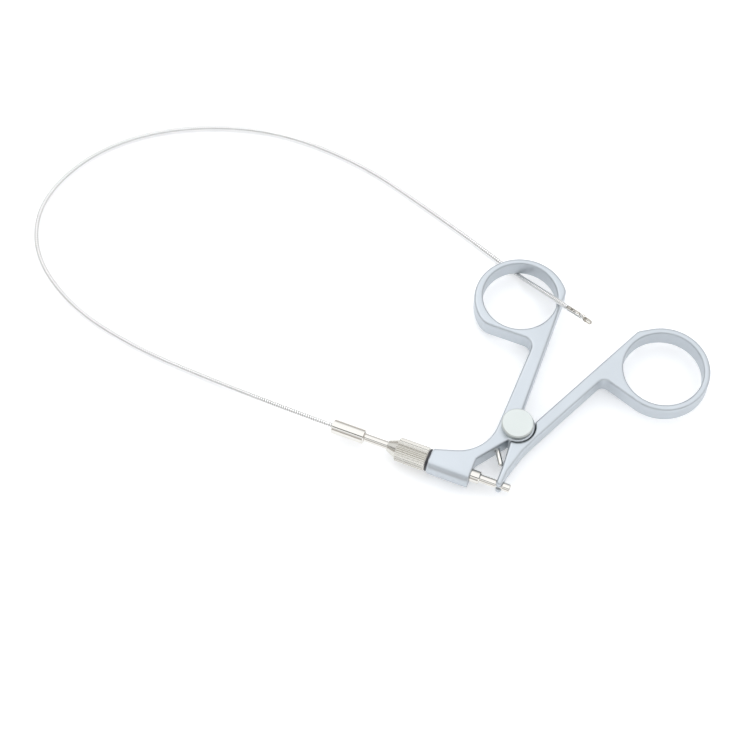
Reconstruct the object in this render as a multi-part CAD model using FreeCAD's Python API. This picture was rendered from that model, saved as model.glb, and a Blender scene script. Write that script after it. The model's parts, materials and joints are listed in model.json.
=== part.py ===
import FreeCAD, Part
import math
import os

# Flexible biopsy forceps, 5 Fr, with a scissor handle. All sizes are in millimetres.
# The origin is on the pivot axis, at the face that rests on the table. +X runs along the
# barrel towards the knob of the pull rod, +Y towards the finger rings, +Z up.
# The model stands open: the tail of the moving handle is at its stop and the jaws are open.

# Clearances
RUN = 0.05              # radial play of a shaft that turns or slides in its bore
SEAT = 0.02             # radial play of a piece that is brazed, screwed or pressed in
FACE = 0.05             # play between faces that turn on each other

# Plates of the two handles and the pivot between them
PLATE_H = 6.5           # thickness of both handles
EDGE_R = 0.7            # rounding of their outlines
HOLE_EDGE_R = 0.5       # rounding of the finger holes
LAP_GAP = 0.1           # play between the two half-laps at the pivot
BOSS_R = 5.5            # round boss of each half-lap
LAP_STEP = 0.25         # play round the boss of the other handle
LAP_MOUTH = 3.5         # the fixed lap is open at the front over this much each way
SHANK_R = 2.5           # pivot screw
HEAD_R = 4.9
HEAD_H = 2.0
HEAD_CHAMFER = 0.35
NUT_R = 4.2             # round nut under the pivot
NUT_H = 1.6
NUT_CHAMFER = 0.3
SPANNER_R = 0.45        # two holes for a pin spanner
SPANNER_PITCH_R = 3.4
SPANNER_DEPTH = 0.8
WASHER_H = 0.4

# Barrel at the front of the fixed handle
ROD_OFFSET = 19.2       # from the pivot to the axis of the pull rod
BARREL_R = 4.0
BARREL_FRONT = -21.0
BARREL_BACK = -7.8
BARREL_EDGE = 0.5       # bevel at its front, behind which the neck starts
BARREL_SHOULDER_R = 2.5 # from the flats down to its front side
NECK_SINK = 0.85        # the neck's front edge starts this deep in the barrel

# Fixed handle, seen from above
FIXED_BORE_Y = 42.9     # finger hole
FIXED_BORE_R = 11.7
FIXED_WALL = 2.9        # the ring's round outside is this much larger
FIXED_RING_SHIFT_X = 0.55   # and lies off the hole's centre, so that the wall grows towards the arm
FIXED_RING_SHIFT_Y = -0.9
FIXED_REAR_WALL = 1.4   # between the hole and the arm's rear edge
FIXED_WEB_WALL = 1.6    # between the hole and the web's edge
FIXED_WEB_END_R = 6.0
FIXED_ARM_TOP_LEFT = -5.1
FIXED_ARM_PROUD = 0.2   # the arm's front edge, outside the boss
FIXED_ARM_RIGHT = -0.15
FIXED_ARM_LEAN = 1.6    # degrees, of the arm's rear edge towards the ring
FIXED_WEB_R = 3.2
SHOULDER_R = 2.5        # both arms round off beside their ring
NECK_R = 12.75          # hollow curve between arm and barrel
NECK_SLOPE = 18         # of the neck's front edge above the barrel
NECK_BACK_Y = -15.1     # where the neck's rear edge leaves the barrel
NECK_BACK_SLOPE = 54.5

# Moving handle, seen from above, in the open position
MOVING_RING_L = 46.42   # from the pivot to the ring's middle, along the arm
MOVING_RING_IN = 0.09   # the arm's near edge passes this close to the ring's outside
MOVING_BORE_R = 12.4
MOVING_WALL = 2.0
MOVING_ARM_ANGLE = 65.3 # direction of the arm, from +X
MOVING_ARM_SIDE = 2.9   # from the pivot axis to the arm's near edge
MOVING_ARM_W = 3.9
MOVING_SHOULDER_L = 4.1 # the near edge runs this far past the ring's middle
MOVING_WEB_R = 2.2
MOVING_WEB_SLOPE = 18.4
MOVING_HIP_R = 20.0     # slow bend between arm and tail
HANDLE_CLOSE = 15       # degrees from open to shut

# Tail of the moving handle with the fork that drives the rod
FORK_ARM = 19.6         # from the pivot to the centre of the fork's round end
FORK_LEAN = 3.8         # degrees past square to the rod, in the open position
FORK_R = 0.9
FORK_DEPTH = 2.2        # slot, from the centre of the round end
TAIL_MID_W = 2.0
TAIL_SHIFT = 0.4        # the tail's middle runs this far behind the line from pivot to fork
TAIL_MID_Y = -15.0
TAIL_HEEL_X = 4.3       # heel of the tail behind the pivot
TAIL_HEEL_Y = -7.5
TAIL_HEEL_R = 8.0

# Opening stop, a round pin with a domed end in the neck
STOP_R = 0.8
STOP_Y = -12.45         # centre of the dome
STOP_ANGLE = 123        # from the dome into the neck, from +X
STOP_L = 7.0
STOP_PLAY = 0.08

# Pull rod, knob and guide
ROD_R = 1.3
ROD_FRONT = -14.5
ROD_NECK_R = 0.85
NECK_PLAY = 0.25        # between the fork and each shoulder of the rod
KNOB_R = 1.35
KNOB_L = 2.4
KNOB_EDGE = 0.5
BUSH_R = 2.0
BUSH_L = 3.0            # the collar that shows behind the barrel
BUSH_SPIGOT_R = 1.75
BUSH_SPIGOT_L = 3.7
BUSH_CHAMFER = 0.3

# Union between handle and shaft
NIPPLE_R = 2.45
NIPPLE_DEPTH = 5.0      # screwed into the barrel
NIPPLE_BORE_R = 0.9
SEAL_R = 3.5
SEAL_L = 0.6
NUT_BODY_R = 3.7        # knurled union nut
NUT_BODY_L = 9.8
NUT_NOSE_L = 3.0
NUT_NOSE_R = 1.75
NUT_NOSE_BACK_R = 3.0
NUT_WALL = 0.5          # end wall behind the nose
NUT_EDGE = 0.35
FERRULE_L = 3.9

# Neck tube and strain-relief sleeve
TUBE_R = 1.3
TUBE_BORE_R = 0.5
TUBE_SHOW = 7.5         # between nut and sleeve
SLEEVE_R = 2.33
SLEEVE_L = 10.5
SLEEVE_EDGE = 0.3
TUBE_IN_SLEEVE = 4.0

# Flexible shaft, a hollow flat-wire coil with the pull wire inside
SHAFT_R = 0.835
SHAFT_BORE_R = 0.45
WIRE_R = 0.25
CRIMP_R = 0.72
CRIMP_L = 4.0
CRIMP_IN_ROD = 1.5
END_PLAY = 0.1          # between the cut ends of the wire

# Distal end. The jaw pin is the origin of the jaws' own frame.
CLEVIS_R = 0.85
CLEVIS_BORE_R = 0.56
CLEVIS_BORE_L = 3.3
CLEVIS_L = 6.43
CLEVIS_EAR_R = 0.75     # round end of the two cheeks
SLOT_START = 1.6
LAYER_H = 0.26          # a jaw's tang or a link; two layers fill the slot
LAYER_PLAY = 0.04
JAW_PIN_R = 0.25
JAW_L = 4.34            # from the pin to the tip
JAW_OPEN = 31           # degrees, each jaw
CUP_R = 0.82
CUP_BORE_R = 0.6
CUP_START = 1.15
CUP_SHOULDER = 1.9
CUP_NOSE = 0.95
CUP_REAR_R = 0.55
CUP_END_WALL = 0.2
CUP_FACE = 0.02         # between the closed jaws
TANG_R = 0.55
TAIL_L = 1.5            # from the jaw pin to the link pin
TAIL_SHUT = 29.5        # degrees between tail and shaft axis, jaws shut
LINK_L = 3.0
LINK_PIN_R = 0.15
LINK_PLAY = 0.09        # the loop is open here, so the hole is wide
EYE_R = 0.42
BAR_W = 0.5
YOKE_R = 0.5
YOKE_BACK = 1.0
YOKE_SLOT = 0.5
WIRE_IN_YOKE = 0.4
WIRE_IN_SHAFT = 1.5

# Places that follow from the sizes above
plate_z = NUT_H + WASHER_H + FACE
mid_z = plate_z + PLATE_H / 2
top_z = plate_z + PLATE_H
rod_y = -ROD_OFFSET
lap_r = BOSS_R + LAP_STEP
fixed_arm_rear = FIXED_ARM_RIGHT - FIXED_BORE_Y * math.tan(math.radians(FIXED_ARM_LEAN))
fixed_bore_x = fixed_arm_rear - FIXED_REAR_WALL - FIXED_BORE_R
fixed_ring_x = fixed_bore_x + FIXED_RING_SHIFT_X
fixed_ring_y = FIXED_BORE_Y + FIXED_RING_SHIFT_Y
fixed_ring_r = FIXED_BORE_R + FIXED_WALL
web_y = FIXED_BORE_Y - FIXED_BORE_R - FIXED_WEB_WALL
moving_ring_r = MOVING_BORE_R + MOVING_WALL
moving_side = MOVING_ARM_SIDE + MOVING_RING_IN + moving_ring_r
moving_turn = math.radians(MOVING_ARM_ANGLE)
moving_ring_x = MOVING_RING_L * math.cos(moving_turn) + moving_side * math.sin(moving_turn)
moving_ring_y = MOVING_RING_L * math.sin(moving_turn) - moving_side * math.cos(moving_turn)
fork_x = FORK_ARM * math.sin(math.radians(FORK_LEAN))
fork_y = -FORK_ARM * math.cos(math.radians(FORK_LEAN))
fork_x_shut = FORK_ARM * math.sin(math.radians(FORK_LEAN + HANDLE_CLOSE))
rod_shoulder = fork_x - FORK_R - NECK_PLAY
knob_x = fork_x + FORK_R + NECK_PLAY
nut_back = BARREL_FRONT - SEAL_L - 2 * FACE
nut_face = nut_back - NUT_BODY_L
nut_front = nut_face - NUT_NOSE_L
nut_shoulder = nut_face + NUT_WALL
ferrule_x = nut_shoulder + FACE
ferrule_back = ferrule_x + FERRULE_L
sleeve_back = nut_front - TUBE_SHOW
sleeve_front = sleeve_back - SLEEVE_L
tube_front = sleeve_back - TUBE_IN_SLEEVE
shaft_start = tube_front - SEAT
slot_h = 2 * LAYER_H + 3 * LAYER_PLAY
pin_x = CLEVIS_L - CLEVIS_EAR_R
tail_open = TAIL_SHUT + JAW_OPEN
link_open = math.degrees(math.asin(TAIL_L * math.sin(math.radians(tail_open)) / LINK_L))
link_shut = math.degrees(math.asin(TAIL_L * math.sin(math.radians(TAIL_SHUT)) / LINK_L))
yoke_open_x = pin_x - TAIL_L * math.cos(math.radians(tail_open)) - LINK_L * math.cos(math.radians(link_open))
yoke_shut_x = pin_x - TAIL_L * math.cos(math.radians(TAIL_SHUT)) - LINK_L * math.cos(math.radians(link_shut))

# Route of the flexible shaft: out of the sleeve, down to the table, round in one wide loop,
# under the far wall of the fixed ring and up over its near wall.
ROUTE = [
    (shaft_start, rod_y, mid_z),
    (-66.0, rod_y, mid_z),
    (-94.0, -16.5, SHAFT_R),
    (-122.0, -14.9, SHAFT_R),
    (-147.0, -8.8, SHAFT_R),
    (-166.5, 4.8, SHAFT_R),
    (-173.0, 25.0, SHAFT_R),
    (-163.3, 49.2, SHAFT_R),
    (-142.4, 66.5, SHAFT_R),
    (-112.6, 76.8, SHAFT_R),
    (-81.0, 74.9, SHAFT_R),
    (-56.0, 67.1, SHAFT_R),
    (-38.4, 61.2, SHAFT_R),
    (-25.3, 56.3, SHAFT_R),
    (-18.7, 53.9, SHAFT_R),
    (-8.1, 47.8, 6.75),
    (1.44, 42.4, 11.9),
]
TIP_ROLL = 24           # degrees, how far the jaws' plane is turned about the shaft from upright


def vec(x, y, z=0.0):
    return FreeCAD.Vector(x, y, z)


def on_circle(x, y, r, degrees):
    a = math.radians(degrees)
    return (x + r * math.cos(a), y + r * math.sin(a))


def touch(x, y, centre_x, centre_y, r, side):
    """Where a line from a point touches a circle, on its left (+1) or right (-1) seen from the centre."""
    away = math.atan2(y - centre_y, x - centre_x)
    swing = math.acos(r / math.hypot(x - centre_x, y - centre_y))
    return on_circle(centre_x, centre_y, r, math.degrees(away + side * swing))


def rod(r, x0, x1, y=None, z=None):
    """Round bar along X, on the axis of the pull rod unless told otherwise."""
    y = rod_y if y is None else y
    z = mid_z if z is None else z
    return Part.makeCylinder(r, x1 - x0, vec(x0, y, z), vec(1, 0, 0))


def disc(r, z0, z1, x=0.0, y=0.0):
    return Part.makeCylinder(r, z1 - z0, vec(x, y, z0))


def rim(shape, axis, value):
    """Edges that lie in one plane square to an axis."""
    low, high = {"x": ("XMin", "XMax"), "z": ("ZMin", "ZMax")}[axis]
    found = []
    for edge in shape.Edges:
        box = edge.BoundBox
        if abs(getattr(box, low) - value) < 1e-4 and abs(getattr(box, high) - value) < 1e-4:
            found.append(edge)
    return found


def rounded_outline(corners):
    """Closed wire through (x, y, corner radius), with a tangent arc at each corner."""
    count = len(corners)
    edges = []
    starts = []
    ends = []
    for i, (x, y, r) in enumerate(corners):
        here = vec(x, y)
        to_last = (vec(*corners[i - 1][:2]) - here).normalize()
        to_next = (vec(*corners[(i + 1) % count][:2]) - here).normalize()
        half = to_last.getAngle(to_next) / 2
        reach = r / math.tan(half)
        starts.append(here + to_last * reach)
        ends.append(here + to_next * reach)
        if r > 0:
            middle = (to_last + to_next).normalize()
            centre = here + middle * (r / math.sin(half))
            edges.append(Part.Arc(starts[i], centre - middle * r, ends[i]).toShape())
    lines = []
    for i in range(count):
        a = ends[i]
        b = starts[(i + 1) % count]
        if (b - a).Length > 1e-6:
            lines.append(Part.LineSegment(a, b).toShape())
    return Part.Wire(Part.__sortEdges__(edges + lines))


def in_plane(edge, places):
    """Whether an edge lies in one of the planes square to X at these places."""
    box = edge.BoundBox
    return any(abs(box.XMin - x) < 1e-4 and abs(box.XMax - x) < 1e-4 for x in places)


def slab(corners):
    """Flat piece as thick as the handles, through (x, y, corner radius)."""
    piece = Part.Face(rounded_outline(corners)).extrude(vec(0, 0, PLATE_H))
    piece.translate(vec(0, 0, plate_z))
    return piece


def on_rim(edge, x, y, r):
    """Whether an edge ends on the circle round a point."""
    return all(abs(math.hypot(v.X - x, v.Y - y) - r) < 1e-4 for v in edge.Vertexes)


def plate(outline_corners, solids, hole, sharp=()):
    """Handle blank with a finger hole. Its edges are rounded, but not those in the sharp planes x."""
    blank = slab(outline_corners).fuse(solids).removeSplitter()
    edges = rim(blank, "z", plate_z) + rim(blank, "z", top_z)
    blank = blank.makeFillet(EDGE_R, [edge for edge in edges if not in_plane(edge, sharp)])
    x, y, r = hole
    blank = blank.cut(disc(r, plate_z, top_z, x, y))
    edges = rim(blank, "z", plate_z) + rim(blank, "z", top_z)
    return blank.makeFillet(HOLE_EDGE_R, [edge for edge in edges if on_rim(edge, *hole)])


def tail_edge(y, side):
    """Point at height y on the front (-1) or rear (+1) edge of the leaning tail."""
    return (-y * math.tan(math.radians(FORK_LEAN)) + TAIL_SHIFT + side * TAIL_MID_W / 2, y)


def stop_axis():
    """Dome centre of the stop pin and its direction into the neck."""
    x = tail_edge(STOP_Y, -1)[0] - STOP_R - STOP_PLAY
    a = math.radians(STOP_ANGLE)
    return vec(x, STOP_Y, mid_z), vec(math.cos(a), math.sin(a), 0)


def arm_rear(y):
    """Point at height y on the rear edge of the fixed arm."""
    return (FIXED_ARM_RIGHT - y * math.tan(math.radians(FIXED_ARM_LEAN)), y)


def fixed_ring():
    """Round disc of the finger ring, cut off along the web's edge and the arm's rear edge."""
    beyond = fixed_ring_y + 2 * fixed_ring_r
    left = fixed_ring_x - 2 * fixed_ring_r
    limit = slab([(left, web_y, 0), (*arm_rear(web_y), 0), (*arm_rear(beyond), 0), (left, beyond, 0)])
    ring = disc(fixed_ring_r, plate_z, top_z, fixed_ring_x, fixed_ring_y).common(limit)
    upright = [edge for edge in ring.Edges if edge.BoundBox.ZLength > PLATE_H / 2]
    web_end = min(upright, key=lambda edge: edge.BoundBox.XMin)
    ring = ring.makeFillet(FIXED_WEB_END_R, [web_end])
    upright = [edge for edge in ring.Edges if edge.BoundBox.ZLength > PLATE_H / 2]
    shoulder = max(upright, key=lambda edge: edge.BoundBox.YMax)
    return ring.makeFillet(SHOULDER_R, [shoulder])


def barrel():
    """Round barrel with two flats, level with the faces of the handle."""
    layer = Part.makeBox(BARREL_BACK - BARREL_FRONT, 2 * BARREL_R, PLATE_H)
    layer.translate(vec(BARREL_FRONT, rod_y - BARREL_R, plate_z))
    body = rod(BARREL_R, BARREL_FRONT, BARREL_BACK)
    body = body.makeChamfer(BARREL_EDGE, rim(body, "x", BARREL_FRONT))
    body = body.common(layer).removeSplitter()
    flats = rim(body, "z", plate_z) + rim(body, "z", top_z)
    creases = [edge for edge in flats if edge.BoundBox.YMax < rod_y and edge.BoundBox.YLength < 1e-4]
    return body.makeFillet(BARREL_SHOULDER_R, creases)


def fixed_handle():
    slope = math.radians(NECK_SLOPE)
    front = -BOSS_R - FIXED_ARM_PROUD
    neck_x = BARREL_FRONT + BARREL_EDGE
    foot_y = rod_y + BARREL_R * math.cos(slope) - NECK_SINK
    neck_y = foot_y + (front - neck_x) * math.tan(slope)
    apex_y = -BOSS_R / 2
    apex_x = BARREL_BACK + (apex_y - NECK_BACK_Y) / math.tan(math.radians(NECK_BACK_SLOPE))
    corners = [
        (fixed_ring_x, web_y, 0),
        (FIXED_ARM_TOP_LEFT, web_y, FIXED_WEB_R),
        (front, neck_y, NECK_R),
        (neck_x, foot_y, 0),
        (neck_x, rod_y, 0),
        (BARREL_BACK, rod_y, 0),
        (BARREL_BACK, NECK_BACK_Y, 0),
        (apex_x, apex_y, 0),
        (FIXED_ARM_RIGHT, 0, 0),
        (*arm_rear(fixed_ring_y), 0),
        (fixed_ring_x, fixed_ring_y, 0),
    ]
    hole = (fixed_bore_x, FIXED_BORE_Y, FIXED_BORE_R)
    boss = disc(BOSS_R, plate_z, top_z)
    boss = boss.makeFillet(EDGE_R, rim(boss, "z", top_z))
    body = plate(corners, [fixed_ring()], hole, (neck_x, BARREL_BACK)).fuse(boss)
    recess_z = mid_z + LAP_GAP / 2
    mouth = Part.makeBox(lap_r, 2 * LAP_MOUTH, recess_z, vec(-2 * BOSS_R, -LAP_MOUTH, 0))
    body = body.cut(disc(lap_r, 0, recess_z).fuse(mouth))
    body = body.fuse(barrel()).removeSplitter()
    body = body.cut(disc(SHANK_R + SEAT, mid_z, top_z))
    body = body.cut(rod(NIPPLE_R + SEAT, BARREL_FRONT, BARREL_FRONT + NIPPLE_DEPTH))
    body = body.cut(rod(ROD_R + RUN, BARREL_FRONT, BARREL_BACK))
    body = body.cut(rod(BUSH_SPIGOT_R + SEAT, BARREL_BACK - BUSH_SPIGOT_L, BARREL_BACK))
    dome, into_neck = stop_axis()
    return body.cut(Part.makeCylinder(STOP_R + SEAT, STOP_L, dome, into_neck))


def moving_handle():
    ring = (moving_ring_x, moving_ring_y)
    along = vec(math.cos(moving_turn), math.sin(moving_turn))
    across = vec(math.sin(moving_turn), -math.cos(moving_turn))
    near = across * MOVING_ARM_SIDE
    far = across * (MOVING_ARM_SIDE + MOVING_ARM_W)
    shoulder = near + along * (MOVING_RING_L + MOVING_SHOULDER_L)
    run_in = touch(shoulder.x, shoulder.y, *ring, moving_ring_r, -1)
    web = math.radians(MOVING_WEB_SLOPE)
    foot = vec(*on_circle(*ring, moving_ring_r, -90 - MOVING_WEB_SLOPE))
    web_dir = vec(-math.cos(web), math.sin(web))
    gap = foot - far
    reach = (gap.x * web_dir.y - gap.y * web_dir.x) / (along.x * web_dir.y - along.y * web_dir.x)
    notch = far + along * reach
    tail_rear = tail_edge(TAIL_MID_Y, 1)
    tail_front = tail_edge(TAIL_MID_Y, -1)
    corners = [
        (foot.x, foot.y, 0),
        (notch.x, notch.y, MOVING_WEB_R),
        (far.x, far.y, MOVING_HIP_R),
        (TAIL_HEEL_X, TAIL_HEEL_Y, TAIL_HEEL_R),
        (*tail_rear, 0),
        (*touch(*tail_rear, fork_x, fork_y, FORK_R, -1), 0),
        (*touch(*tail_front, fork_x, fork_y, FORK_R, 1), 0),
        (*tail_front, 0),
        (*tail_edge(-BOSS_R / 2, -1), 0),
        (near.x, near.y, 0),
        (shoulder.x, shoulder.y, SHOULDER_R),
        (*run_in, 0),
        (*ring, 0),
    ]
    discs = [(0, 0, BOSS_R), (*ring, moving_ring_r), (fork_x, fork_y, FORK_R)]
    discs = [disc(r, plate_z, top_z, x, y) for x, y, r in discs]
    body = plate(corners, discs, (*ring, MOVING_BORE_R))
    body = body.cut(disc(lap_r, mid_z - LAP_GAP / 2, top_z + 1))
    body = body.cut(disc(SHANK_R + RUN, plate_z, mid_z))
    slot = 2 * (ROD_NECK_R + 2 * RUN)
    box = Part.makeBox(8 * FORK_R, FORK_DEPTH + 2 * FORK_R, slot)
    box.translate(vec(fork_x - 4 * FORK_R, fork_y - 2 * FORK_R, mid_z - slot / 2))
    return body.cut(box)


def pivot_screw():
    screw = disc(HEAD_R, top_z, top_z + HEAD_H)
    screw = screw.makeChamfer(HEAD_CHAMFER, rim(screw, "z", top_z + HEAD_H))
    return screw.fuse(disc(SHANK_R, 0, top_z)).removeSplitter()


def pivot_washer():
    return disc(NUT_R, NUT_H, NUT_H + WASHER_H).cut(disc(SHANK_R + SEAT, 0, mid_z))


def pivot_nut():
    nut = disc(NUT_R, 0, NUT_H)
    nut = nut.makeChamfer(NUT_CHAMFER, rim(nut, "z", 0))
    nut = nut.cut(disc(SHANK_R + SEAT, 0, NUT_H))
    for angle in (0, 180):
        x, y = on_circle(0, 0, SPANNER_PITCH_R, angle)
        nut = nut.cut(disc(SPANNER_R, 0, SPANNER_DEPTH, x, y))
    return nut


def stop_pin():
    dome, into_neck = stop_axis()
    pin = Part.makeCylinder(STOP_R, STOP_L - SEAT, dome, into_neck)
    return pin.fuse(Part.makeSphere(STOP_R, dome)).removeSplitter()


def pull_rod():
    bar = rod(ROD_R, ROD_FRONT, rod_shoulder)
    bar = bar.fuse(rod(ROD_NECK_R, rod_shoulder, knob_x + KNOB_L / 2))
    return bar.cut(rod(CRIMP_R + SEAT, ROD_FRONT, ROD_FRONT + CRIMP_IN_ROD + SEAT))


def rod_knob():
    knob = rod(KNOB_R, knob_x, knob_x + KNOB_L)
    knob = knob.makeFillet(KNOB_EDGE, rim(knob, "x", knob_x + KNOB_L))
    return knob.cut(rod(ROD_NECK_R + SEAT, knob_x, knob_x + KNOB_L / 2 + SEAT))


def guide_bush():
    back = BARREL_BACK + FACE + BUSH_L
    collar = rod(BUSH_R, BARREL_BACK + FACE, back)
    collar = collar.makeChamfer(BUSH_CHAMFER, rim(collar, "x", back))
    bush = collar.fuse(rod(BUSH_SPIGOT_R, BARREL_BACK - BUSH_SPIGOT_L + SEAT, BARREL_BACK + FACE))
    return bush.cut(rod(ROD_R + RUN, BARREL_FRONT, back)).removeSplitter()


def threaded_nipple():
    nipple = rod(NIPPLE_R, ferrule_back + FACE, BARREL_FRONT + NIPPLE_DEPTH - SEAT)
    return nipple.cut(rod(NIPPLE_BORE_R, ferrule_x, BARREL_BACK))


def seal_ring():
    front = nut_back + FACE
    back = BARREL_FRONT - FACE
    ring = rod(SEAL_R, front, back)
    ring = ring.makeFillet(SEAL_L / 3, rim(ring, "x", front) + rim(ring, "x", back))
    return ring.cut(rod(NIPPLE_R + SEAT, nut_back, BARREL_FRONT))


def union_nut():
    body = rod(NUT_BODY_R, nut_face, nut_back)
    body = body.makeChamfer(NUT_EDGE, rim(body, "x", nut_face) + rim(body, "x", nut_back))
    nose = Part.makeCone(NUT_NOSE_R, NUT_NOSE_BACK_R, NUT_NOSE_L, vec(nut_front, rod_y, mid_z), vec(1, 0, 0))
    nut = body.fuse(nose)
    nut = nut.cut(rod(NIPPLE_R + RUN, nut_shoulder, nut_back))
    return nut.cut(rod(TUBE_R + RUN, nut_front, nut_shoulder))


def shaft_ferrule():
    return rod(NIPPLE_R, ferrule_x, ferrule_back).cut(rod(TUBE_R + SEAT, ferrule_x, ferrule_back))


def neck_tube():
    return rod(TUBE_R, tube_front, ferrule_back).cut(rod(TUBE_BORE_R, tube_front, ferrule_back))


def strain_relief_sleeve():
    sleeve = rod(SLEEVE_R, sleeve_front, sleeve_back)
    sleeve = sleeve.makeChamfer(SLEEVE_EDGE, rim(sleeve, "x", sleeve_front) + rim(sleeve, "x", sleeve_back))
    sleeve = sleeve.cut(rod(SHAFT_R + RUN, sleeve_front, tube_front))
    return sleeve.cut(rod(TUBE_R + SEAT, tube_front, sleeve_back))


def wire_crimp():
    crimp = rod(CRIMP_R, ROD_FRONT + CRIMP_IN_ROD - CRIMP_L, ROD_FRONT + CRIMP_IN_ROD)
    return crimp.cut(rod(WIRE_R + SEAT, ROD_FRONT + CRIMP_IN_ROD - CRIMP_L, ROD_FRONT + CRIMP_IN_ROD))


def wire_proximal():
    return rod(WIRE_R, shaft_start + END_PLAY, ROD_FRONT + CRIMP_IN_ROD)


def route_edges(cut_end=0.0):
    """Straight runs of the route joined by tangent arcs; returns edges, length and radii."""
    points = [vec(*p) for p in ROUTE]
    last = (points[-1] - points[-2]).normalize()
    points[-1] = points[-1] - last * cut_end
    runs = [b - a for a, b in zip(points, points[1:])]
    lengths = [run.Length for run in runs]
    edges = []
    radii = []
    here = points[0]
    for i in range(1, len(points) - 1):
        before = FreeCAD.Vector(runs[i - 1]).normalize()
        after = FreeCAD.Vector(runs[i]).normalize()
        turn = before.getAngle(after)
        reach = 0.45 * min(lengths[i - 1], lengths[i])
        radius = reach / math.tan(turn / 2)
        start = points[i] - before * reach
        end = points[i] + after * reach
        inward = (after - before).normalize()
        middle = points[i] + inward * (radius / math.cos(turn / 2) - radius)
        edges.append(Part.LineSegment(here, start).toShape())
        edges.append(Part.Arc(start, middle, end).toShape())
        radii.append(radius)
        here = end
    edges.append(Part.LineSegment(here, points[-1]).toShape())
    return edges, sum(edge.Length for edge in edges), radii


def sweep(r, edges):
    """Round bar along the route, starting square to the first run."""
    start = vec(*ROUTE[0])
    circle = Part.Circle(start, vec(-1, 0, 0), r)
    pipe = Part.BRepOffsetAPI.MakePipeShell(Part.Wire(edges))
    pipe.add(Part.Wire(circle.toShape()))
    pipe.build()
    pipe.makeSolid()
    return pipe.shape()


def coil_shaft():
    edges, length, radii = route_edges()
    tube = sweep(SHAFT_R, edges).cut(sweep(SHAFT_BORE_R, edges))
    expected = math.pi * (SHAFT_R ** 2 - SHAFT_BORE_R ** 2) * length
    print("shaft length %.2f, arc radii %s" % (length, ["%.1f" % r for r in radii]))
    print("shaft volume %.3f, section times length %.3f" % (tube.Volume, expected))
    return tube


def wire_core():
    cut = WIRE_IN_SHAFT + END_PLAY + yoke_open_x - yoke_shut_x
    return sweep(WIRE_R, route_edges(cut)[0])


def tip_placement():
    """Frame of the distal end: x along the shaft, y the way the upper jaw opens, z the jaw pin."""
    end = vec(*ROUTE[-1])
    x = (end - vec(*ROUTE[-2])).normalize()
    level = x.cross(vec(0, 0, 1)).normalize()
    upright = level.cross(x)
    turn = math.radians(TIP_ROLL)
    z = level * math.cos(turn) - upright * math.sin(turn)
    y = z.cross(x)
    matrix = FreeCAD.Matrix(x.x, y.x, z.x, end.x, x.y, y.y, z.y, end.y, x.z, y.z, z.z, end.z, 0, 0, 0, 1)
    return FreeCAD.Placement(matrix)


def bar(r, x0, x1):
    """Round bar along the axis of the distal end."""
    return Part.makeCylinder(r, x1 - x0, vec(x0, 0, 0), vec(1, 0, 0))


def cross_pin(r, x, z0, z1, y=0.0):
    return Part.makeCylinder(r, z1 - z0, vec(x, y, z0))


def layer(side):
    """Low and high z of the upper or lower half of the slot, for side +1 or -1."""
    a = side * LAYER_PLAY / 2
    b = side * (LAYER_PLAY / 2 + LAYER_H)
    return min(a, b), max(a, b)


def jaw_clevis():
    body = bar(CLEVIS_R, 0, CLEVIS_L)
    ears = cross_pin(CLEVIS_EAR_R, pin_x, -CLEVIS_R, CLEVIS_R)
    shank = Part.makeBox(pin_x, 2 * CLEVIS_R, 2 * CLEVIS_R, vec(0, -CLEVIS_R, -CLEVIS_R))
    body = body.common(shank.fuse(ears))
    slot = Part.makeBox(CLEVIS_L, 2 * CLEVIS_R, slot_h, vec(SLOT_START, -CLEVIS_R, -slot_h / 2))
    body = body.cut(slot)
    body = body.cut(bar(CLEVIS_BORE_R, 0, CLEVIS_BORE_L))
    return body.cut(cross_pin(JAW_PIN_R + SEAT, pin_x, -CLEVIS_R, CLEVIS_R))


def jaw_pin():
    pin = cross_pin(JAW_PIN_R, pin_x, -CLEVIS_R, CLEVIS_R)
    return pin.common(bar(CLEVIS_R, 0, CLEVIS_L))


def strap(x0, y0, x1, y1, width, z0, z1):
    """Flat bar between two points in a layer."""
    a = vec(x0, y0, z0)
    b = vec(x1, y1, z0)
    side = vec(0, 0, 1).cross(b - a).normalize() * (width / 2)
    wire = Part.makePolygon([a - side, b - side, b + side, a + side, a - side])
    return Part.Face(wire).extrude(vec(0, 0, z1 - z0))


def cup():
    """Upper half of the closed pair of cups: outer form less the hollow, y above the parting."""
    tip = JAW_L
    nose = tip - CUP_NOSE
    mid = vec(nose + CUP_NOSE * math.sin(math.radians(50)), CUP_R * math.cos(math.radians(50)))
    outer = Part.Wire([
        Part.LineSegment(vec(CUP_START, 0), vec(CUP_START, CUP_REAR_R)).toShape(),
        Part.LineSegment(vec(CUP_START, CUP_REAR_R), vec(CUP_SHOULDER, CUP_R)).toShape(),
        Part.LineSegment(vec(CUP_SHOULDER, CUP_R), vec(nose, CUP_R)).toShape(),
        Part.Arc(vec(nose, CUP_R), mid, vec(tip, 0)).toShape(),
        Part.LineSegment(vec(tip, 0), vec(CUP_START, 0)).toShape(),
    ])
    body = Part.Face(outer).revolve(vec(0, 0, 0), vec(1, 0, 0), 180)
    body.rotate(vec(0, 0, 0), vec(1, 0, 0), -90)
    back = CUP_SHOULDER + CUP_BORE_R
    front = tip - CUP_END_WALL - CUP_BORE_R
    hollow = bar(CUP_BORE_R, back, front)
    hollow = hollow.fuse(Part.makeSphere(CUP_BORE_R, vec(back, 0, 0)))
    hollow = hollow.fuse(Part.makeSphere(CUP_BORE_R, vec(front, 0, 0)))
    above = Part.makeBox(2 * tip, 2 * CUP_R, 4 * CUP_R, vec(0, CUP_FACE / 2, -2 * CUP_R))
    return body.cut(hollow).common(above)


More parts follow.
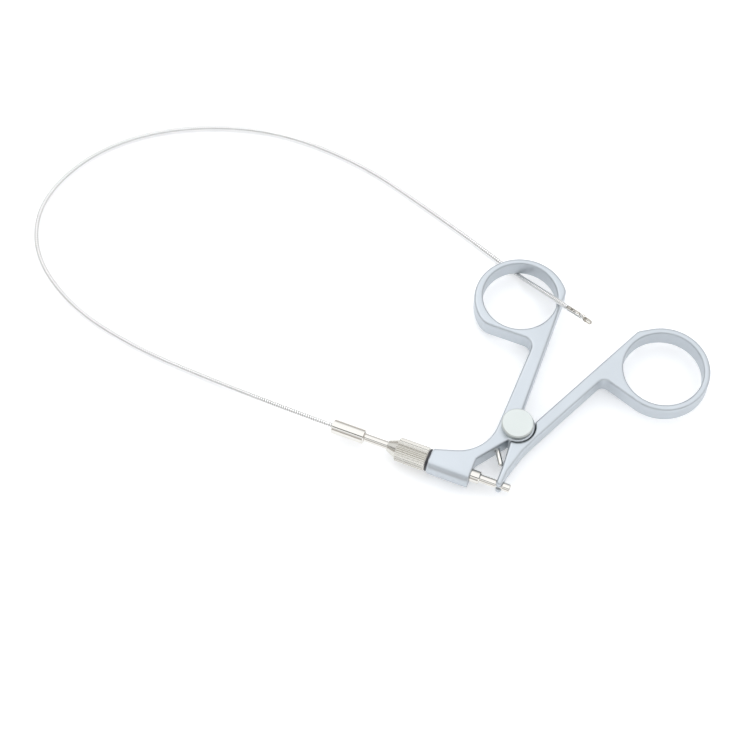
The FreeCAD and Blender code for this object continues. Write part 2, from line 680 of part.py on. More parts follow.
def jaw(side):
    """One jaw, shut, with its pin at the origin: side +1 is the upper, -1 the lower."""
    z0, z1 = layer(1)
    tail = (-TAIL_L * math.cos(math.radians(TAIL_SHUT)), -TAIL_L * math.sin(math.radians(TAIL_SHUT)))
    tang = cross_pin(TANG_R, 0, z0, z1)
    neck_y = CUP_FACE / 2 + TANG_R / 2
    tang = tang.fuse(strap(0, neck_y, CUP_SHOULDER, neck_y, TANG_R, z0, z1))
    tang = tang.fuse(strap(0, 0, *tail, BAR_W, z0, z1))
    tang = tang.fuse(cross_pin(EYE_R, tail[0], z0, z1, tail[1]))
    shape = cup().fuse(tang)
    shape = shape.cut(cross_pin(JAW_PIN_R + RUN, 0, -CLEVIS_R, CLEVIS_R))
    shape = shape.cut(cross_pin(LINK_PIN_R + SEAT, tail[0], -CLEVIS_R, CLEVIS_R, tail[1]))
    if side < 0:
        shape.rotate(vec(0, 0, 0), vec(1, 0, 0), 180)
    shape.rotate(vec(0, 0, 0), vec(0, 0, 1), side * JAW_OPEN)
    shape.translate(vec(pin_x, 0, 0))
    return shape.removeSplitter()


def link_end(side):
    """Centre of the link pin in the open position."""
    a = math.radians(tail_open)
    return pin_x - TAIL_L * math.cos(a), -side * TAIL_L * math.sin(a)


def link(side):
    """Link between the yoke and one jaw's tail, in the layer beside that tail."""
    z0, z1 = layer(-side)
    x, y = link_end(side)
    body = strap(yoke_open_x, 0, x, y, BAR_W, z0, z1)
    body = body.fuse(cross_pin(EYE_R, yoke_open_x, z0, z1))
    body = body.fuse(cross_pin(EYE_R, x, z0, z1, y))
    body = body.cut(cross_pin(LINK_PIN_R + RUN, yoke_open_x, -CLEVIS_R, CLEVIS_R))
    body = body.cut(cross_pin(LINK_PIN_R + LINK_PLAY, x, -CLEVIS_R, CLEVIS_R, y))
    return body.removeSplitter()


def link_pin(side):
    x, y = link_end(side)
    reach = LAYER_PLAY / 2 + LAYER_H
    return cross_pin(LINK_PIN_R, x, -reach, reach, y)


def yoke():
    back = yoke_open_x - YOKE_BACK
    body = bar(YOKE_R, back, yoke_open_x + EYE_R)
    slot_x = yoke_open_x - YOKE_SLOT
    slot = Part.makeBox(CLEVIS_L, 2 * YOKE_R, slot_h, vec(slot_x, -YOKE_R, -slot_h / 2))
    body = body.cut(slot).cut(bar(WIRE_R + SEAT, back, back + WIRE_IN_YOKE))
    return body.cut(cross_pin(LINK_PIN_R + SEAT, yoke_open_x, -YOKE_R, YOKE_R))


def yoke_pin():
    return cross_pin(LINK_PIN_R, yoke_open_x, -YOKE_R, YOKE_R).common(bar(YOKE_R, 0, CLEVIS_L))


def wire_distal():
    return bar(WIRE_R, -WIRE_IN_SHAFT, yoke_open_x - YOKE_BACK + WIRE_IN_YOKE - SEAT)


def save(name, shape, placement=FreeCAD.Placement()):
    if len(shape.Solids) == 1:
        shape = shape.Solids[0]
    shape.Placement = placement.multiply(shape.Placement)
    shape.exportStep("parts/%s.step" % name)
    print("%-22s solids %d volume %9.3f valid %s" % (name, len(shape.Solids), shape.Volume, shape.isValid()))


os.makedirs("parts", exist_ok=True)
for build in (fixed_handle, moving_handle, pivot_screw, pivot_washer, pivot_nut, stop_pin, pull_rod, rod_knob,
              guide_bush, threaded_nipple, seal_ring, union_nut, shaft_ferrule, neck_tube,
              strain_relief_sleeve, wire_crimp, wire_proximal, coil_shaft, wire_core):
    save(build.__name__, build())
tip = tip_placement()
for build in (jaw_clevis, jaw_pin, yoke, yoke_pin, wire_distal):
    save(build.__name__, build(), tip)
for side, word in ((1, "upper"), (-1, "lower")):
    save("jaw_" + word, jaw(side), tip)
    save("link_" + word, link(side), tip)
    save("link_pin_" + word, link_pin(side), tip)
print("rod travel %.4f, yoke travel %.4f" % (fork_x_shut - fork_x, yoke_open_x - yoke_shut_x))
print("link angles %.3f to %.3f" % (link_open, link_shut))
print("tip axis", tip.Rotation.multVec(vec(1, 0, 0)), "pin axis", tip.Rotation.multVec(vec(0, 0, 1)))
print("jaw pin", tip.multVec(vec(pin_x, 0, 0)), "yoke pin", tip.multVec(vec(yoke_open_x, 0, 0)))
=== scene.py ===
# %% [markdown]
# The object is a flexible biopsy forceps: a steel scissor handle, a long thin shaft wound from
# flat wire, and a tiny pair of cup jaws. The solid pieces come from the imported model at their
# real place and size. This script gives each of them its finish. Three pieces are modelled anew
# as meshes, because the solids leave out what the eye sees of them: the windings of the shaft,
# the pull wire inside it, and the knurl of the union nut.

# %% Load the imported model
import json
import math
import bpy
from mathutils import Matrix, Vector


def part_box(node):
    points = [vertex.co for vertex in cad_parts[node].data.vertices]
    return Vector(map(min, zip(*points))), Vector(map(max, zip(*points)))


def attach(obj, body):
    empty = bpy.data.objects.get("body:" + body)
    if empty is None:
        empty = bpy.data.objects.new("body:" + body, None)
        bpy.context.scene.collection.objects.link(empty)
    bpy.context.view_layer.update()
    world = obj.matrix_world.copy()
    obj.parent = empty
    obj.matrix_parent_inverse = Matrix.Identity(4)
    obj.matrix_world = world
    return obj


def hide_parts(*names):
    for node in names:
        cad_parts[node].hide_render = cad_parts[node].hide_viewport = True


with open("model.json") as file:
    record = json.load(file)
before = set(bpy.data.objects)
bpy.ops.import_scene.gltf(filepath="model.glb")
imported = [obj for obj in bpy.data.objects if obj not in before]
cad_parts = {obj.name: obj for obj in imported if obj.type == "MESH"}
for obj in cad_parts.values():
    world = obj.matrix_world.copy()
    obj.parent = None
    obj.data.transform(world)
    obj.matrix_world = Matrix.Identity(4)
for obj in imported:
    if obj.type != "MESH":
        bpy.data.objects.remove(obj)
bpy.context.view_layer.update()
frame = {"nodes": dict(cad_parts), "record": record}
ROOT = "frame"
MM = 0.001

# %% [markdown]
# The picture is taken from well above the table with a long lens. The two finger rings are
# round, so the shape of their ellipses gives the direction the camera looks from, and the
# distance follows from how much smaller the far ring looks.

# %% Camera
AZIMUTH = math.radians(21.64)
ELEVATION = math.radians(62.5)
DISTANCE = 0.613
AIM = Vector((-0.0464, 0.00013, 0.00855))
SENSOR_MM = 36.0
LENS_MM = 96.0
NEAREST = 0.01

back = Vector((
    math.sin(AZIMUTH) * math.cos(ELEVATION),
    -math.cos(AZIMUTH) * math.cos(ELEVATION),
    math.sin(ELEVATION),
))
lens = bpy.data.cameras.new("camera")
lens.lens = LENS_MM
lens.sensor_width = SENSOR_MM
lens.clip_start = NEAREST
camera = bpy.data.objects.new("camera", lens)
camera.location = AIM + back * DISTANCE
camera.rotation_euler = back.to_track_quat("Z", "Y").to_euler()
bpy.context.scene.collection.objects.link(camera)
bpy.context.scene.camera = camera
print("camera at", [round(c, 4) for c in camera.location])

# %% [markdown]
# The shaft is a coil of flat steel wire, 1.67 mm across, and it is springy: it leaves the
# sleeve straight, sinks to the table, goes round in one wide loop, dives under the far side of
# the finger ring and climbs over its near side. Its path is one smooth curve that is pulled
# towards the points below. The curve only serves as a guide: its points are read off and the
# guide is thrown away.

# %% Line of the shaft
SHAFT_R = 0.835 * MM
GUIDE_STEPS = 40
ROUTE = [
    (-0.04602, -0.0192, 0.0053),
    (-0.0660, -0.0192, 0.0053),
    (-0.0940, -0.0165, SHAFT_R),
    (-0.1220, -0.0149, SHAFT_R),
    (-0.1470, -0.0088, SHAFT_R),
    (-0.1665, 0.0048, SHAFT_R),
    (-0.1730, 0.0250, SHAFT_R),
    (-0.1633, 0.0492, SHAFT_R),
    (-0.1424, 0.0665, SHAFT_R),
    (-0.1126, 0.0768, SHAFT_R),
    (-0.0810, 0.0749, SHAFT_R),
    (-0.0560, 0.0671, SHAFT_R),
    (-0.0384, 0.0612, SHAFT_R),
    (-0.0253, 0.0563, SHAFT_R),
    (-0.0187, 0.0539, SHAFT_R),
    (-0.0081, 0.0478, 0.00675),
    (0.00144, 0.0424, 0.0119),
]


def guide_points(route, steps):
    """Points along the smooth curve that the route controls."""
    curve = bpy.data.curves.new("guide", "CURVE")
    curve.dimensions = "3D"
    spline = curve.splines.new("NURBS")
    spline.points.add(len(route) - 1)
    for point, place in zip(spline.points, route):
        point.co = (*place, 1.0)
    spline.order_u = 3
    spline.use_endpoint_u = True
    spline.resolution_u = steps
    guide = bpy.data.objects.new("guide", curve)
    mesh = bpy.data.meshes.new_from_object(guide)
    points = [v.co.copy() for v in mesh.vertices]
    bpy.data.objects.remove(guide)
    bpy.data.curves.remove(curve)
    bpy.data.meshes.remove(mesh)
    return points


line = guide_points(ROUTE, GUIDE_STEPS)

# %% [markdown]
# A helper turns rows of points into a mesh: every row is a ring of points, and neighbouring
# rows are joined with four-sided faces. The wound shaft, the pull wire and the knurled nut
# are all made that way. A subdivision surface would need fewer points, but it would round off
# the edges of the flat wire and of the knurl, which are what catches the light.

# %% Rows of points to a mesh


def skin(name, rows, close_rows=False, caps=False, smooth=True):
    """Mesh object from equally long rings of points."""
    count = len(rows[0])
    vertices = [p for row in rows for p in row]
    faces = []
    last = len(rows) if close_rows else len(rows) - 1
    for i in range(last):
        a = i * count
        b = ((i + 1) % len(rows)) * count
        for j in range(count):
            k = (j + 1) % count
            faces.append((a + j, a + k, b + k, b + j))
    if caps:
        faces.append(tuple(reversed(range(count))))
        faces.append(tuple(range((len(rows) - 1) * count, len(rows) * count)))
    mesh = bpy.data.meshes.new(name)
    mesh.from_pydata(vertices, [], faces)
    if smooth:
        mesh.shade_smooth()
    else:
        mesh.shade_flat()
    mesh.validate()
    piece = bpy.data.objects.new(name, mesh)
    bpy.context.scene.collection.objects.link(piece)
    print("%s: %d rows, %d faces" % (name, len(rows), len(faces)))
    return piece


# %% [markdown]
# A wire that runs along the guide needs to know, at every place, which way the guide goes and
# two directions square to it. Each pair of directions is carried on from the one before, so
# the wire never twists by itself.

# %% Places along the guide


def frames_along(points, spacing):
    """Evenly spaced places on a line of points, each with two directions square to it."""
    places = []
    normal = Vector((0, 0, 1))
    left = 0.0
    for a, b in zip(points, points[1:]):
        run = b - a
        along = run.normalized()
        normal = (normal - along * normal.dot(along)).normalized()
        side = along.cross(normal)
        while left < run.length:
            places.append((a + along * left, along, normal, side))
            left += spacing
        left -= run.length
    return places


# %% [markdown]
# The flat wire is wound with a small gap at every turn, which is what catches the light. One
# turn takes 0.73 mm. The section of the wire is a flat strip with rounded edges, and it is
# swept along a helix round the guide. At both ends the coil is cut square, hidden in the
# sleeve at one end and soldered to the jaws' clevis at the other.

# %% Flat wire of the shaft
PITCH = 0.73 * MM
STEPS_PER_TURN = 18
WIRE_HALF_WIDTH = 0.315 * MM
WIRE_THICK = 0.2 * MM
WIRE_EDGE = 0.06 * MM

turn_step = PITCH / STEPS_PER_TURN
section = [
    (-WIRE_HALF_WIDTH, -WIRE_THICK),
    (-WIRE_HALF_WIDTH, -WIRE_EDGE),
    (-WIRE_HALF_WIDTH + WIRE_EDGE, 0.0),
    (WIRE_HALF_WIDTH - WIRE_EDGE, 0.0),
    (WIRE_HALF_WIDTH, -WIRE_EDGE),
    (WIRE_HALF_WIDTH, -WIRE_THICK),
]
wire_rows = []
for i, (place, along, normal, side) in enumerate(frames_along(line, turn_step)):
    angle = 2 * math.pi * i / STEPS_PER_TURN
    outward = normal * math.cos(angle) + side * math.sin(angle)
    wire_rows.append([place + along * u + outward * (SHAFT_R + v) for u, v in section])
margin = int(round((WIRE_HALF_WIDTH + PITCH / 2) / turn_step))
shaft_coil = skin("shaft_coil", wire_rows[margin:-margin], caps=True)

# %% [markdown]
# The pull wire runs inside the coil from the rod to the jaws. It shows only as a dull line in
# the gaps, so a plain round wire with eight sides is enough. It ends shortly before the
# clevis, because the last stretch moves with the jaws and is a piece of its own.

# %% Pull wire inside the shaft
PULL_WIRE_R = 0.25 * MM
PULL_WIRE_SIDES = 8
PULL_WIRE_STEP = 0.6 * MM
END_CUT = 2.4 * MM

corners = [2 * math.pi * j / PULL_WIRE_SIDES for j in range(PULL_WIRE_SIDES)]
places = frames_along(line, PULL_WIRE_STEP)
core_rows = []
for place, along, normal, side in places[:-int(END_CUT / PULL_WIRE_STEP)]:
    core_rows.append([
        place + (normal * math.cos(a) + side * math.sin(a)) * PULL_WIRE_R for a in corners
    ])
pull_wire = skin("pull_wire", core_rows, caps=True)

# %% [markdown]
# The two new wires take the place of the plain solids that stand for them: the solids are hidden,
# and the wires are fixed to the handle's frame.

# %% The new wires in place of their solids
for piece, node, slot in (
    (shaft_coil, "coil_shaft", "coil_steel"),
    (pull_wire, "wire_core", "inner_steel"),
):
    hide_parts(node)
    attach(piece, ROOT)

# %% [markdown]
# The union nut has a straight knurl: fine ridges pressed along its length, which fade into a
# bevel at both ends. Its front is a smooth cone round the neck tube. It is a turned piece, so
# it is made from one outline that is carried round the axis, and the radius is lowered between
# the ridges where the outline says how deep the knurl is there.

# %% Outline of the union nut
NUT_BORE_R = 2.5 * MM
NOSE_BORE_R = 1.35 * MM
NOSE_L = 3.0 * MM
NOSE_R = 1.75 * MM
NOSE_BACK_R = 3.0 * MM
NOSE_EDGE = 0.1 * MM
NUT_WALL = 0.5 * MM
NUT_BEVEL = 0.35 * MM
SMOOTH = 0.0
FADING = 0.3
KNURLED = 1.0

nut_low, nut_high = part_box("union_nut")
nut_y = (nut_low.y + nut_high.y) / 2
nut_z = (nut_low.z + nut_high.z) / 2
nut_r = (nut_high.z - nut_low.z) / 2
face_x = nut_low.x + NOSE_L
outline = [
    (nut_low.x, NOSE_BORE_R, SMOOTH),
    (nut_low.x, NOSE_R - NOSE_EDGE, SMOOTH),
    (nut_low.x + NOSE_EDGE, NOSE_R, SMOOTH),
    (face_x, NOSE_BACK_R, SMOOTH),
    (face_x, nut_r - NUT_BEVEL, SMOOTH),
    (face_x + NUT_BEVEL / 2, nut_r - NUT_BEVEL / 2, FADING),
    (face_x + NUT_BEVEL, nut_r, KNURLED),
    (nut_high.x - NUT_BEVEL, nut_r, KNURLED),
    (nut_high.x - NUT_BEVEL / 2, nut_r - NUT_BEVEL / 2, FADING),
    (nut_high.x, nut_r - NUT_BEVEL, SMOOTH),
    (nut_high.x, NUT_BORE_R, SMOOTH),
    (face_x + NUT_WALL, NUT_BORE_R, SMOOTH),
    (face_x + NUT_WALL, NOSE_BORE_R, SMOOTH),
]
print("nut %.1f mm long, %.1f mm across" % ((nut_high.x - nut_low.x) / MM, 2 * nut_r / MM))

# %% Knurl of the union nut
RIDGES = 40
KNURL_DEPTH = 0.25 * MM
RIDGE_FORM = [1.0, 0.8, 0.3, 0.0, 0.3, 0.8]

steps_round = RIDGES * len(RIDGE_FORM)
nut_rows = []
for x, r, depth in outline:
    row = []
    for j in range(steps_round):
        angle = 2 * math.pi * j / steps_round
        radius = r - KNURL_DEPTH * depth * (1 - RIDGE_FORM[j % len(RIDGE_FORM)])
        row.append(Vector((x, nut_y + radius * math.cos(angle), nut_z + radius * math.sin(angle))))
    nut_rows.append(row)
knurled_nut = skin("knurled_nut", nut_rows, close_rows=True, smooth=False)
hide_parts("union_nut")
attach(knurled_nut, "union_nut")

# %% [markdown]
# A finish is a small net of nodes. The same few nodes come back in every one of them, so each
# gets a helper: a link, a step of arithmetic, a value carried over to another range, and a
# mixture of two colours.

# %% Helpers for links and arithmetic


def link(tree, start, end):
    """Join an output to an input, or set the input where the start is a plain value."""
    if isinstance(start, bpy.types.NodeSocket):
        tree.links.new(start, end)
    else:
        end.default_value = start


def calculate(tree, operation, first, second=0.0):
    """One step of arithmetic; each value is a socket or a number."""
    node = tree.nodes.new("ShaderNodeMath")
    node.operation = operation
    link(tree, first, node.inputs[0])
    link(tree, second, node.inputs[1])
    return node.outputs[0]


# %% Helpers for ranges and colours


def carry(tree, value, start=(0.0, 1.0), end=(0.0, 1.0), smooth=False):
    """Carry a value from one range to another, and no further than its ends."""
    node = tree.nodes.new("ShaderNodeMapRange")
    if smooth:
        node.interpolation_type = "SMOOTHSTEP"
    node.inputs["From Min"].default_value, node.inputs["From Max"].default_value = start
    node.inputs["To Min"].default_value, node.inputs["To Max"].default_value = end
    link(tree, value, node.inputs["Value"])
    return node.outputs["Result"]


def mix_colours(tree, mask, first, second):
    """Go from the first colour to the second as the mask goes from 0 to 1."""
    node = tree.nodes.new("ShaderNodeMix")
    node.data_type = "RGBA"
    for label, colour in (("A", first), ("B", second)):
        plain = not isinstance(colour, bpy.types.NodeSocket)
        link(tree, (*colour, 1) if plain else colour, node.inputs[label])
    link(tree, mask, node.inputs["Factor"])
    return node.outputs["Result"]


print("helpers ready: link, calculate, carry, mix_colours")

# %% [markdown]
# All finishes are built from the place on the surface, never from where the camera stands. Four
# effects come back in several of them, so each is a node group that is built once: fine grain from
# blasting or brushing, brighter edges that are partly a rubbed-off finish and partly a painted
# highlight, painted shade in recesses, and corners that tumbling with ceramic stones has softened
# beyond the rounding that was milled. The groups put out only masks, values and normals; the
# shader itself stays in each material.

# %% A new node group


def new_group(name, inputs, output, kind="NodeSocketFloat"):
    """Empty group with float or vector inputs at their usual values, and one output."""
    group = bpy.data.node_groups.new(name, "ShaderNodeTree")
    for label, value in inputs.items():
        vector = isinstance(value, tuple)
        socket = group.interface.new_socket(
            label, in_out="INPUT", socket_type="NodeSocketVector" if vector else "NodeSocketFloat"
        )
        socket.default_value = value
    group.interface.new_socket(output, in_out="OUTPUT", socket_type=kind)
    given = group.nodes.new("NodeGroupInput").outputs
    result = group.nodes.new("NodeGroupOutput").inputs[output]
    return group, given, result


# %% [markdown]
# Grain is a noise texture in the object's own space. Its size is given in metres, and it can
# be stretched along one axis, which turns grains into the lines that a brush or a lathe leaves.

# %% Fine grain
GRAIN_DETAIL = 3.0

fine_grain, given, result = new_group(
    "fine_grain", {"Size": 0.0002, "Stretch": (1, 1, 1)}, "Value"
)
place = fine_grain.nodes.new("ShaderNodeTexCoord")
stretched = fine_grain.nodes.new("ShaderNodeVectorMath")
stretched.operation = "DIVIDE"
noise = fine_grain.nodes.new("ShaderNodeTexNoise")
noise.inputs["Detail"].default_value = GRAIN_DETAIL
link(fine_grain, place.outputs["Object"], stretched.inputs[0])
link(fine_grain, given["Stretch"], stretched.inputs[1])
link(fine_grain, stretched.outputs[0], noise.inputs["Vector"])
link(fine_grain, calculate(fine_grain, "DIVIDE", 1.0, given["Size"]), noise.inputs["Scale"])
link(fine_grain, noise.outputs["Fac"], result)
print("group:", fine_grain.name)

# %% [markdown]
# Hands and cloths rub a finish off its edges first, and the edges here are brighter still: the
# brightening is partly worn finish and partly a painted highlight. The Bevel node gives the normal
# that a rounded edge would have. Where it leaves the true normal, there is an edge.

# %% Rubbed edges and painted highlight
EDGE_RANGE = (1.0, 0.85)
EDGE_SAMPLES = 4

# The mask brightens edges: partly worn finish, partly a painted highlight.
rubbed_and_highlit_edges, given, result = new_group("rubbed_and_highlit_edges", {"Width": 0.0002, "Amount": 1.0}, "Mask")
bevel = rubbed_and_highlit_edges.nodes.new("ShaderNodeBevel")
bevel.samples = EDGE_SAMPLES
true_normal = rubbed_and_highlit_edges.nodes.new("ShaderNodeNewGeometry")
compare = rubbed_and_highlit_edges.nodes.new("ShaderNodeVectorMath")
compare.operation = "DOT_PRODUCT"
link(rubbed_and_highlit_edges, given["Width"], bevel.inputs["Radius"])
link(rubbed_and_highlit_edges, bevel.outputs["Normal"], compare.inputs[0])
link(rubbed_and_highlit_edges, true_normal.outputs["Normal"], compare.inputs[1])
wear_and_highlight_mask = carry(rubbed_and_highlit_edges, compare.outputs["Value"], start=EDGE_RANGE)
link(rubbed_and_highlit_edges, calculate(rubbed_and_highlit_edges, "MULTIPLY", wear_and_highlight_mask, given["Amount"]), result)
print("group:", rubbed_and_highlit_edges.name)

# %% [markdown]
# Corners and slots get painted shade. Ambient Occlusion measures how closed in a point is within a
# given reach, and the colour is darkened there.

# %% Painted shade in recesses
PAINTED_SHADE_RANGE = (0.5, 0.1)
SOFT_SAMPLES = 8

# Painted shade: the colour darkens where a point is closed in.
painted_recess_shade, given, result = new_group("painted_recess_shade", {"Reach": 0.002, "Amount": 1.0}, "Mask")
shelter = painted_recess_shade.nodes.new("ShaderNodeAmbientOcclusion")
shelter.samples = SOFT_SAMPLES
link(painted_recess_shade, given["Reach"], shelter.inputs["Distance"])
painted_shade_mask = carry(painted_recess_shade, shelter.outputs["AO"], start=PAINTED_SHADE_RANGE)
link(painted_recess_shade, calculate(painted_recess_shade, "MULTIPLY", painted_shade_mask, given["Amount"]), result)
print("group:", painted_recess_shade.name)

# %% [markdown]
# The handles are tumbled after milling, so light runs softly over their corners. The Bevel
# node does that in the shading alone, and the shape stays what the solid says.

# %% Soft corners
soft_corners, given, result = new_group(
    "soft_corners", {"Radius": 0.0005}, "Normal", kind="NodeSocketVector"
)
bevel = soft_corners.nodes.new("ShaderNodeBevel")
bevel.samples = SOFT_SAMPLES
link(soft_corners, given["Radius"], bevel.inputs["Radius"])
link(soft_corners, bevel.outputs["Normal"], result)
print("groups:", [g.name for g in bpy.data.node_groups])

# %% [markdown]
# Most pieces are bare metal, and metals differ in three things: their colour, how rough they
# are, and what marks the tool left. One function makes such a finish from those values. The
# tone drifts a little over the piece, as it does where metal was handled and wiped.

# %% Metal finishes
TONE_LOW, TONE_HIGH = 0.93, 1.05
# Share of the colour at edges, worn finish plus a painted highlight.
WEAR_AND_HIGHLIGHT_TONE = 1.45
# Share of the colour where the painted shade in recesses is full.
PAINTED_SHADE_TONE = 0.18
CLOUD_SIZE = 12 * MM
EDGE_WIDTH = 0.25 * MM
ROUGH_LOW, ROUGH_HIGH = 0.8, 1.2
MARK_STRENGTH = 0.5


def place_group(tree, group, **values):
    """A group in a material, with its own values; returns what it puts out."""
    node = tree.nodes.new("ShaderNodeGroup")
    node.node_tree = group
    for label, value in values.items():
        node.inputs[label].default_value = value
    return node.outputs[0]


def toned(colour, share):
    return [min(1.0, c * share) for c in colour]


def metal(name, colour, rough, grain, depth, stretch=(1, 1, 1), edge_wear_and_highlight=0.0, recess_shade=0.0,
          reach=1.5 * MM, soft=0.0):
    """Bare metal: its tone varies slowly, grain roughens it, edges are brighter from wear and a
    painted highlight, recesses have painted shade.
    """
    material = bpy.data.materials.new(name)
    material.use_nodes = True
    tree = material.node_tree
    shader = tree.nodes["Principled BSDF"]
    shader.inputs["Metallic"].default_value = 1.0
    cloud = place_group(tree, fine_grain, Size=CLOUD_SIZE)
    marks = place_group(tree, fine_grain, Size=grain, Stretch=stretch)
    rubbed_and_highlit = place_group(tree, rubbed_and_highlit_edges, Width=EDGE_WIDTH, Amount=edge_wear_and_highlight)
    recess_shade_mask = place_group(tree, painted_recess_shade, Reach=reach, Amount=recess_shade)
    tone = mix_colours(tree, cloud, toned(colour, TONE_LOW), toned(colour, TONE_HIGH))
    # Edges: worn finish plus a painted highlight.
    tone = mix_colours(tree, rubbed_and_highlit, tone, toned(colour, WEAR_AND_HIGHLIGHT_TONE))
    # Painted shade darkens the tone in recesses.
    tone = mix_colours(tree, recess_shade_mask, tone, toned(colour, PAINTED_SHADE_TONE))
    link(tree, tone, shader.inputs["Base Color"])
    roughness = carry(tree, marks, end=(rough * ROUGH_LOW, rough * ROUGH_HIGH))
    link(tree, roughness, shader.inputs["Roughness"])
    bump = tree.nodes.new("ShaderNodeBump")
    bump.inputs["Distance"].default_value = depth
    bump.inputs["Strength"].default_value = MARK_STRENGTH
    link(tree, marks, bump.inputs["Height"])
    if soft:
        link(tree, place_group(tree, soft_corners, Radius=soft), bump.inputs["Normal"])
    link(tree, bump.outputs["Normal"], shader.inputs["Normal"])
    return material


# %% [markdown]
# The handles are satin: blasted, then tumbled, a cool grey with painted shade in their corners and
# a painted highlight on their worn edges. The pivot's head is turned and a little greener and
# duller, and its bevel carries a painted highlight too. Rod, knob, tube and sleeve are polished
# like a mirror, with lines along them from the polishing wheel. The nut is nickel plated, which is
# warmer. The wound wire is the brightest, and the tiny parts of the jaws are plain steel.

# %% The six metals
satin_steel = metal(
    "satin_steel", (0.555, 0.595, 0.632), rough=0.4, grain=0.12 * MM, depth=0.006 * MM,
    edge_wear_and_highlight=0.5, recess_shade=0.6, reach=2.5 * MM, soft=0.9 * MM,
)
# The head's bevel gets a painted highlight through the edge mask.
turned_steel = metal(
    "turned_steel", (0.67, 0.71, 0.695), rough=0.5, grain=0.15 * MM, depth=0.006 * MM, edge_wear_and_highlight=0.6,
)
polished_steel = metal(
    "polished_steel", (0.76, 0.74, 0.70), rough=0.07, grain=0.4 * MM, depth=0.001 * MM,
    stretch=(6, 1, 1), recess_shade=0.15,
)
# Painted shade darkens the grooves of the knurl.
nickel_plate = metal(
    "nickel_plate", (0.695, 0.68, 0.635), rough=0.22, grain=0.2 * MM, depth=0.002 * MM,
    recess_shade=0.6, reach=0.4 * MM,
)
# Painted shade darkens the gaps between the windings.
wound_steel = metal(
    "wound_steel", (0.91, 0.91, 0.905), rough=0.18, grain=0.3 * MM, depth=0.001 * MM,
    recess_shade=0.3, reach=0.2 * MM,
)
plain_steel = metal(
    "plain_steel", (0.78, 0.78, 0.77), rough=0.25, grain=0.3 * MM, depth=0.002 * MM,
    recess_shade=0.15, reach=0.4 * MM,
)
print("metals:", [m.name for m in bpy.data.materials if m.name.endswith(("steel", "plate"))])

# %% [markdown]
# The seal between nut and barrel is black rubber: not a metal, nearly black, with a skin that
# shines a little where it is pressed smooth.

# %% Rubber of the seal
RUBBER_DARK = (0.035, 0.034, 0.038)
RUBBER_LIGHT = (0.06, 0.057, 0.065)
RUBBER_ROUGH = (0.25, 0.4)
DUST_SIZE = 0.5 * MM

rubber = bpy.data.materials.new("seal_rubber")
rubber.use_nodes = True
tree = rubber.node_tree
shader = tree.nodes["Principled BSDF"]
dust = place_group(tree, fine_grain, Size=DUST_SIZE)
link(tree, mix_colours(tree, dust, RUBBER_DARK, RUBBER_LIGHT), shader.inputs["Base Color"])
link(tree, carry(tree, dust, end=RUBBER_ROUGH), shader.inputs["Roughness"])
print("rubber:", rubber.name)

# %% [markdown]
# Every solid names the slot that its finish goes into, so one table from slot to finish
# dresses them all. The three new meshes get theirs by hand.

# %% Give every piece its finish
FINISHES = {
    "handle_steel": satin_steel,
    "screw_steel": turned_steel,
    "nickel": nickel_plate,
    "bright_steel": polished_steel,
    "seal": rubber,
    "coil_steel": wound_steel,
    "inner_steel": plain_steel,
}
slot_of = {part["node"]: part["material_slot"] for part in frame["record"]["subparts"]}
for node, piece in frame["nodes"].items():
    piece.data.materials.clear()
    piece.data.materials.append(FINISHES[slot_of[node]])
shaft_coil.data.materials.append(wound_steel)
pull_wire.data.materials.append(plain_steel)
knurled_nut.data.materials.append(nickel_plate)
print("finishes:", sorted(m.name for m in FINISHES.values()))

# %% [markdown]
# The table is white paper. It keeps the soft shadows, and glows a little so that it comes out
# white. The glow is seen by the camera and by mirrors, and it throws no light on the object:
# Light Path tells the three kinds of ray apart.

# %% Table
TABLE_SIZE = 6.0
PAPER = (0.94, 0.95, 0.965)
PAPER_ROUGH = 0.9
PAPER_GLOW = 0.28
WHITE = (1.0, 1.0, 1.0)

bpy.ops.mesh.primitive_plane_add(size=TABLE_SIZE, location=(0, 0, 0))
table = bpy.context.object
table.name = "table"
paper = bpy.data.materials.new("white_paper")
paper.use_nodes = True
tree = paper.node_tree
sheet = tree.nodes["Principled BSDF"]
sheet.inputs["Base Color"].default_value = (*PAPER, 1)
sheet.inputs["Roughness"].default_value = PAPER_ROUGH
sheet.inputs["Specular IOR Level"].default_value = 0.0
sheet.inputs["Emission Color"].default_value = (*WHITE, 1)
ray = tree.nodes.new("ShaderNodeLightPath").outputs
seen = calculate(tree, "ADD", ray["Is Camera Ray"], ray["Is Glossy Ray"])
seen = calculate(tree, "ADD", seen, ray["Is Transmission Ray"])
link(tree, calculate(tree, "MULTIPLY", seen, PAPER_GLOW), sheet.inputs["Emission Strength"])
table.data.materials.append(paper)
print("table: %.0f m wide, %s" % (TABLE_SIZE, paper.name))

# %% [markdown]
# The object stands in a white tent, and nearly all its light comes from there. The tent is
# brightest overhead and darker towards the table, where it is also a little warmer. That
# gives flat tops a lighter and cooler tone than upright walls. In front, above the camera's
# side of the table, the tent has a dark slot from side to side, which the polished tubes
# mirror as a thin dark line. The camera itself sees plain white.

# %% Brightness of the tent
SKY_LOW, SKY_TOP = 0.55, 1.35
SKY_RISE = (0.2, 0.85)
SLOT_AT = 56.0
SLOT_HALF = 8.0
SLOT_DARK = 0.02

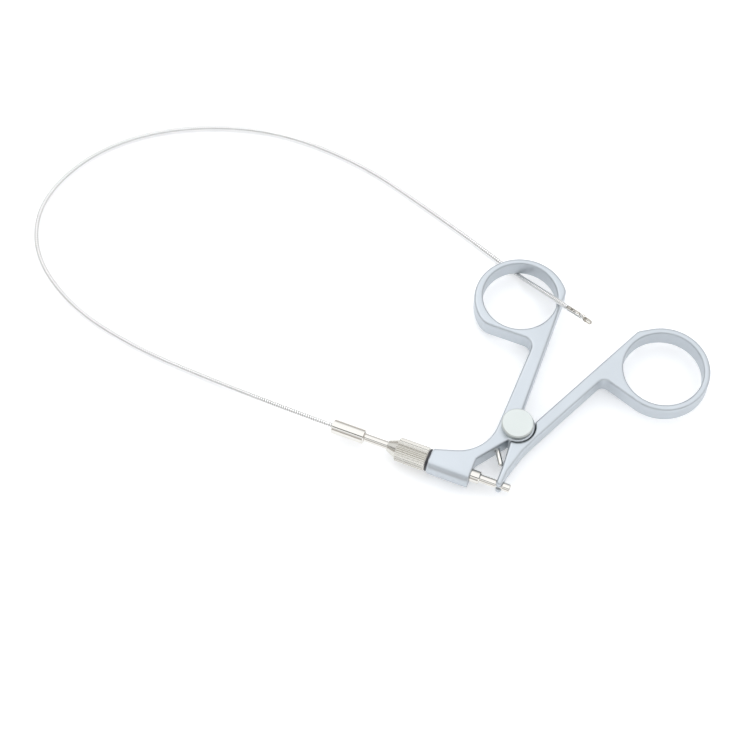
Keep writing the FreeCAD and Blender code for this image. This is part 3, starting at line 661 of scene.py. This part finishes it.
world = bpy.data.worlds.new("tent")
bpy.context.scene.world = world
world.use_nodes = True
tree = world.node_tree
direction = tree.nodes.new("ShaderNodeTexCoord")
toward = tree.nodes.new("ShaderNodeSeparateXYZ")
link(tree, direction.outputs["Generated"], toward.inputs[0])
up = toward.outputs["Z"]
front = calculate(tree, "MULTIPLY", toward.outputs["Y"], -1.0)
lean = calculate(tree, "ARCTAN2", front, up)
off_slot = calculate(tree, "SUBTRACT", lean, math.radians(90 - SLOT_AT))
off_slot = calculate(tree, "ABSOLUTE", off_slot)
slot_edge = (math.radians(SLOT_HALF / 2), math.radians(SLOT_HALF))
slot = carry(tree, off_slot, start=slot_edge, end=(SLOT_DARK, 1.0), smooth=True)
rise = carry(tree, up, start=SKY_RISE, end=(SKY_LOW, SKY_TOP), smooth=True)
level = calculate(tree, "MULTIPLY", rise, slot)
print("tent from %.2f to %.2f, slot %.0f degrees up" % (SKY_LOW, SKY_TOP, SLOT_AT))

# %% Colour of the tent, and what the camera sees of it
WARM_LOW = (1.0, 0.95, 0.88)
COOL_TOP = (0.99, 1.0, 1.015)
TINT_RISE = (0.0, 0.6)

tint = mix_colours(tree, carry(tree, up, start=TINT_RISE, smooth=True), WARM_LOW, COOL_TOP)
from_camera = tree.nodes.new("ShaderNodeLightPath").outputs["Is Camera Ray"]
strength = tree.nodes.new("ShaderNodeMix")
strength.inputs["B"].default_value = 1.0
link(tree, level, strength.inputs["A"])
link(tree, from_camera, strength.inputs["Factor"])
sky = tree.nodes["Background"]
link(tree, mix_colours(tree, from_camera, tint, WHITE), sky.inputs["Color"])
link(tree, strength.outputs["Result"], sky.inputs["Strength"])
print("tent: warm %s below, cool %s above" % (WARM_LOW, COOL_TOP))

# %% [markdown]
# One large round lamp with little power stands high on the left behind the handle. It adds a
# faint direction to a light that is otherwise nearly even.

# %% Lamp
LAMP_PLACE = Vector((-0.55, 0.45, 0.95))
LAMP_SIZE = 0.6
LAMP_WATT = 0.6

lamp = bpy.data.lights.new("softbox", "AREA")
lamp.shape = "DISK"
lamp.size = LAMP_SIZE
lamp.energy = LAMP_WATT
softbox = bpy.data.objects.new("softbox", lamp)
softbox.location = LAMP_PLACE
softbox.rotation_euler = (LAMP_PLACE - AIM).to_track_quat("Z", "Y").to_euler()
bpy.context.scene.collection.objects.link(softbox)
bpy.context.scene.view_settings.view_transform = "Standard"
print("lamp: %.1f W, %.1f m across" % (LAMP_WATT, LAMP_SIZE))
